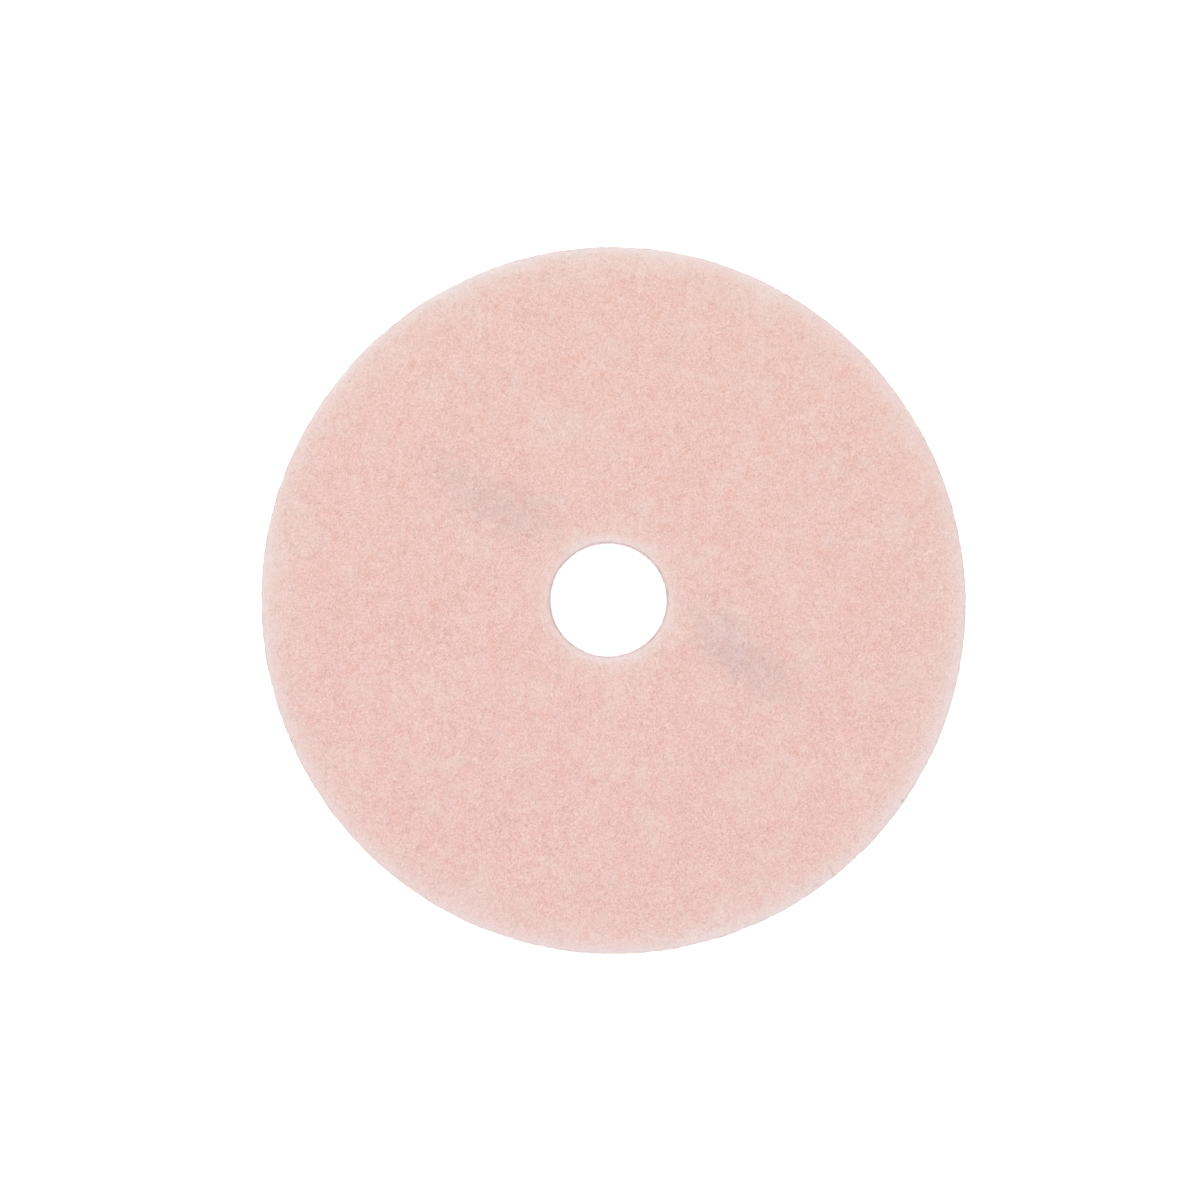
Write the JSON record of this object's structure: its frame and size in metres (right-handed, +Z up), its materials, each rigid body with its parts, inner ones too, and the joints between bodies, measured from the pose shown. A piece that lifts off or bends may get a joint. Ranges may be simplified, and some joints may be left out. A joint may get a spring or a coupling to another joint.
{
  "type": "floor polishing pad",
  "caption": "Thick round disc of pale pink, springy nonwoven fibre web for polishing floors, with softly rolled cut edges and a round driver hole through the middle.",
  "frame": {"origin": "centre of the pad's outline, on its underside, where it lies on the floor", "axes": "+Z up, along the disc's axis and out of its upper face; +Y towards the side that is at the top of the picture, +X to its right"},
  "size_m": [0.5072, 0.5088, 0.0254],
  "materials": {
    "fibre_web": "matte"
  },
  "bodies": {
    "root": {"fibre_web_disc": "fibre_web"}
  },
  "joints": []
}
